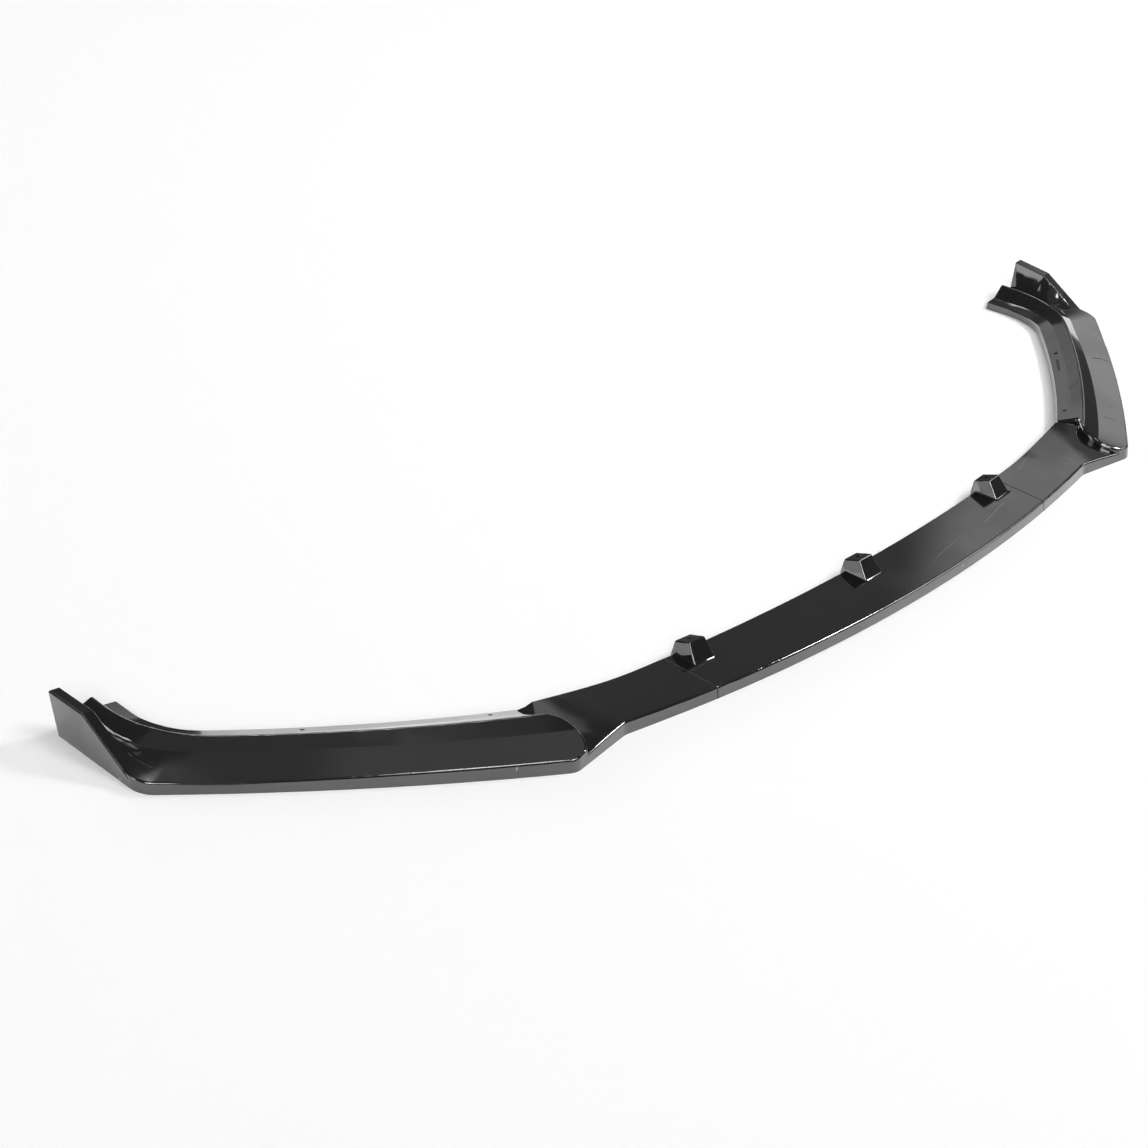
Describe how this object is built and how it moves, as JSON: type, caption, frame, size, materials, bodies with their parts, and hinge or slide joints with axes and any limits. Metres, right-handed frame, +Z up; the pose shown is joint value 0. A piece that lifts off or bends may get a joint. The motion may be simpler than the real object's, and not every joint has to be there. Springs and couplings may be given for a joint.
{
  "type": "front splitter lip",
  "caption": "Gloss black front bumper splitter lip: a curved plate with fixing towers between swept wings, each with a sloping seat, a ridged flank and an upright end fin.",
  "frame": {"origin": "on the ground, below the middle of the part's box", "axes": "+X across the car to the right as seen by someone facing the part's front, -Y towards the front of the car, +Z up"},
  "size_m": [1.7614, 0.4087, 0.0523],
  "materials": {
    "gloss_black": "gloss black, lightly scratched",
    "screw_steel": "zinc plated"
  },
  "bodies": {
    "root": {"centre_section": "gloss_black", "left_wing": "gloss_black", "right_wing": "gloss_black", "joint_screws": "screw_steel"}
  },
  "joints": []
}
